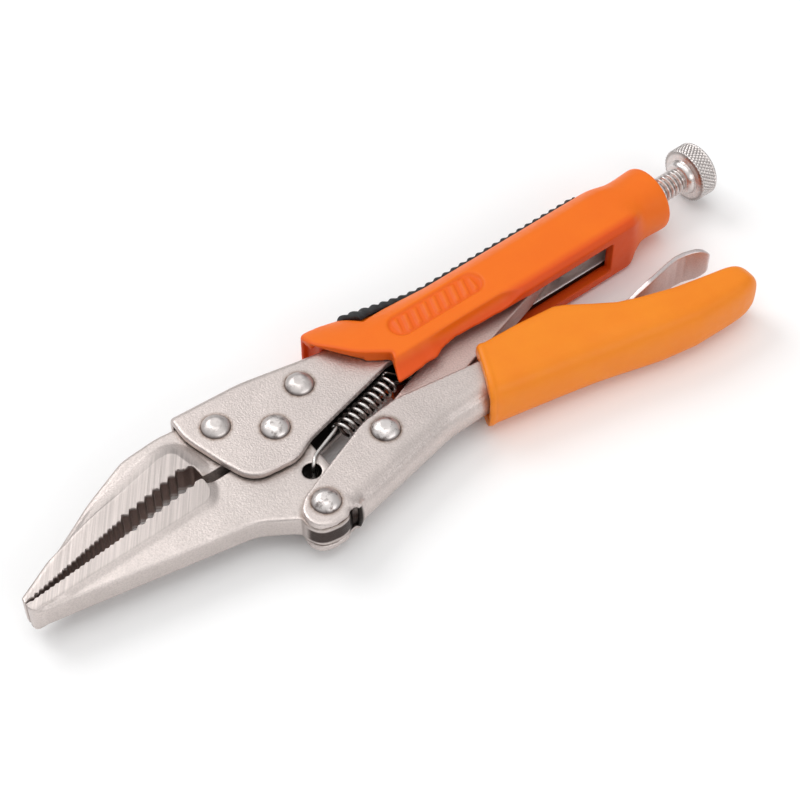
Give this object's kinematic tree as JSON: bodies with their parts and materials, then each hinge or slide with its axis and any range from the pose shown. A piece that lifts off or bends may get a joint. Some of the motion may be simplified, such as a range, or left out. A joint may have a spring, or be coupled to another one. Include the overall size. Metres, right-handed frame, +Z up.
{
  "type": "long-nose locking pliers",
  "caption": "Long-nose locking pliers with serrated jaws, riveted stamped handles, overcentre toggle link, release lever, knurled adjusting screw, tension spring and moulded grips.",
  "frame": {"origin": "centre of the bounding box in plan, on the plane that the tool lies on", "axes": "+X along the upper handle towards the adjusting screw, +Y towards the upper handle's back, +Z up out of the tool's flat side"},
  "size_m": [0.2238, 0.0608, 0.0188],
  "materials": {
    "plate_steel": "satin",
    "jaw_steel": "satin",
    "rivet_steel": "polished",
    "link_steel": "satin",
    "lever_steel": "satin",
    "screw_steel": "satin",
    "spring_steel": "satin",
    "grip_orange": "satin",
    "sleeve_orange": "satin",
    "insert_black": "matte"
  },
  "bodies": {
    "frame": {"upper_handle": "plate_steel", "fixed_jaw": "jaw_steel", "front_jaw_rivet": "rivet_steel", "rear_jaw_rivet": "rivet_steel", "jaw_pivot_rivet": "rivet_steel", "upper_grip": "grip_orange", "upper_grip_insert": "insert_black", "jaw_spring": "spring_steel"},
    "lower_jaw": {"lower_jaw": "jaw_steel"},
    "lower_handle": {"lower_handle": "plate_steel", "handle_pivot_rivet": "rivet_steel", "link_rivet": "rivet_steel", "release_lever_pin": "rivet_steel", "lower_grip_sleeve": "sleeve_orange"},
    "toggle_link": {"toggle_link": "link_steel"},
    "release_lever": {"release_lever": "lever_steel"},
    "adjusting_screw": {"adjusting_screw": "screw_steel"}
  },
  "joints": [
    {"name": "jaw_hinge", "type": "hinge", "parent": "frame", "child": "lower_jaw", "pos_m": [-0.03675, 0.0101, 0.0094], "axis": [0, 0, 1], "range_deg": [0, 22], "deforming": ["jaw_spring"]},
    {"name": "handle_hinge", "type": "hinge", "parent": "lower_jaw", "child": "lower_handle", "pos_m": [-0.04025, -0.0154, 0.0094], "axis": [0, 0, 1], "range_deg": [-69.7, 0]},
    {"name": "link_hinge", "type": "hinge", "parent": "lower_handle", "child": "toggle_link", "pos_m": [-0.01575, -0.0072, 0.0094], "axis": [0, 0, 1], "range_deg": [0, 65.6]},
    {"name": "release_lever_hinge", "type": "hinge", "parent": "lower_handle", "child": "release_lever", "pos_m": [0.03535, -0.0114, 0.0094], "axis": [0, 0, 1], "range_deg": [-4, 0]},
    {"name": "screw_travel", "type": "slide", "parent": "frame", "child": "adjusting_screw", "axis": [1, 0, 0], "range_m": [0, 0.012]}
  ],
  "couplings": [
    {"joint": "handle_hinge", "follows": "jaw_hinge", "ratio": -3.1641},
    {"joint": "link_hinge", "follows": "jaw_hinge", "ratio": 2.9787}
  ]
}
